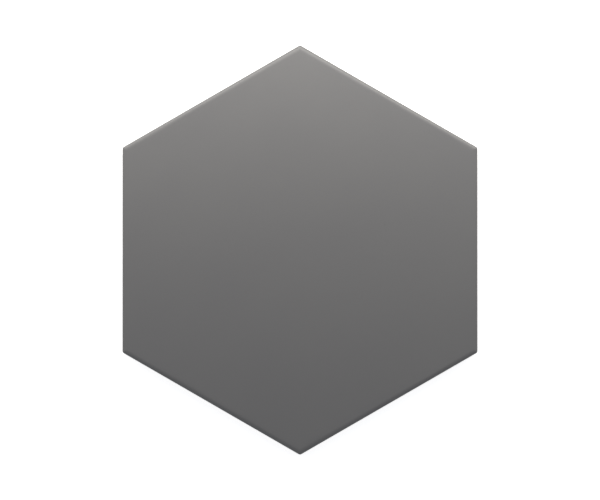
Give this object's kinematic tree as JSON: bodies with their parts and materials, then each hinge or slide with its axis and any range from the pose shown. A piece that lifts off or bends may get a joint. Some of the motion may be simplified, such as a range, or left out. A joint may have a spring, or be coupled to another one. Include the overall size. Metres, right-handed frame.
{
  "type": "hexagonal floor tile",
  "caption": "Hexagonal glazed porcelain floor tile with an eased face edge, drafted flanks and a back with honeycomb pockets that key into the adhesive.",
  "frame": {"origin": "centre of the bedding plane, under the middle of the tile", "axes": "+Z out of the wearing face; +Y towards a corner; +X towards the middle of a flank"},
  "size_m": [0.2, 0.2304, 0.009],
  "materials": {
    "grey_glaze": "satin"
  },
  "bodies": {
    "root": {"hex_tile": "grey_glaze"}
  },
  "joints": []
}
